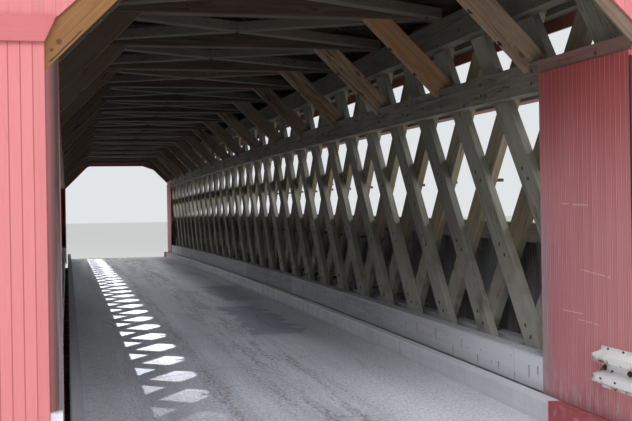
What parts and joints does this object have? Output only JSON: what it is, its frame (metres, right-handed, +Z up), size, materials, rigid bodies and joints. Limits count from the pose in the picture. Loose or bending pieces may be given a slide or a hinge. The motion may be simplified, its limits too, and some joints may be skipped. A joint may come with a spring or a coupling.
{
  "type": "covered bridge",
  "caption": "Timber covered road bridge on two plank lattice trusses, with red boarded portals, a gabled roof and a paved deck.",
  "frame": {"origin": "on the ground, at the middle of the bridge between the two bed timber groups", "axes": "+Y along the road from the near portal to the far one, +X to the right, +Z up"},
  "size_m": [6.378, 36.3, 7.41],
  "materials": {
    "weathered_timber": "rough grey-brown planks",
    "warm_timber": "rough brown planks",
    "pale_timber": "rough pale grey, rust streaks",
    "dark_timber": "rough, dark with age",
    "dark_boards": "rough vertical boards",
    "red_boards": "worn matt red paint",
    "dull_red_boards": "scuffed matt red paint",
    "road": "rough asphalt",
    "roof_metal": "weathered sheet",
    "rail_steel": "chipped cream paint, rust"
  },
  "bodies": {
    "root": {"bottom_chord_left": "weathered_timber", "bottom_chord_right": "weathered_timber", "lattice_inner_left": "weathered_timber", "lattice_inner_right": "weathered_timber", "upper_chord_left": "weathered_timber", "upper_chord_right": "weathered_timber", "top_chord_left": "weathered_timber", "top_chord_right": "weathered_timber", "portal_posts_left": "weathered_timber", "portal_posts_right": "weathered_timber", "lattice_outer_left": "warm_timber", "lattice_outer_right": "warm_timber", "knee_braces_left": "warm_timber", "knee_braces_right": "warm_timber", "portal_braces_left": "warm_timber", "portal_braces_right": "warm_timber", "lower_chord_left": "pale_timber", "lower_chord_right": "pale_timber", "curb_left": "pale_timber", "curb_right": "pale_timber", "siding_rail_left": "pale_timber", "siding_rail_right": "pale_timber", "bed_timbers_near": "pale_timber", "bed_timbers_far": "pale_timber", "tie_beams": "dark_timber", "lateral_braces": "dark_timber", "eave_plate_left": "dark_timber", "eave_plate_right": "dark_timber", "rafters_left": "dark_timber", "rafters_right": "dark_timber", "roof_boards_left": "dark_timber", "roof_boards_right": "dark_timber", "floor_beams": "dark_timber", "stringers": "dark_timber", "deck_planks": "dark_timber", "siding_left": "dark_boards", "siding_right": "dark_boards", "near_portal_left": "red_boards", "near_portal_right": "red_boards", "near_portal_gable": "red_boards", "far_portal_left": "red_boards", "far_portal_right": "red_boards", "far_portal_gable": "red_boards", "portal_bands": "red_boards", "eave_boards_left": "red_boards", "eave_boards_right": "red_boards", "return_panels_left": "dull_red_boards", "return_panels_right": "dull_red_boards", "jamb_boards": "dull_red_boards", "road_surface": "road", "roofing_left": "roof_metal", "roofing_right": "roof_metal", "ridge_cap": "roof_metal", "guard_rail": "rail_steel"}
  },
  "joints": []
}
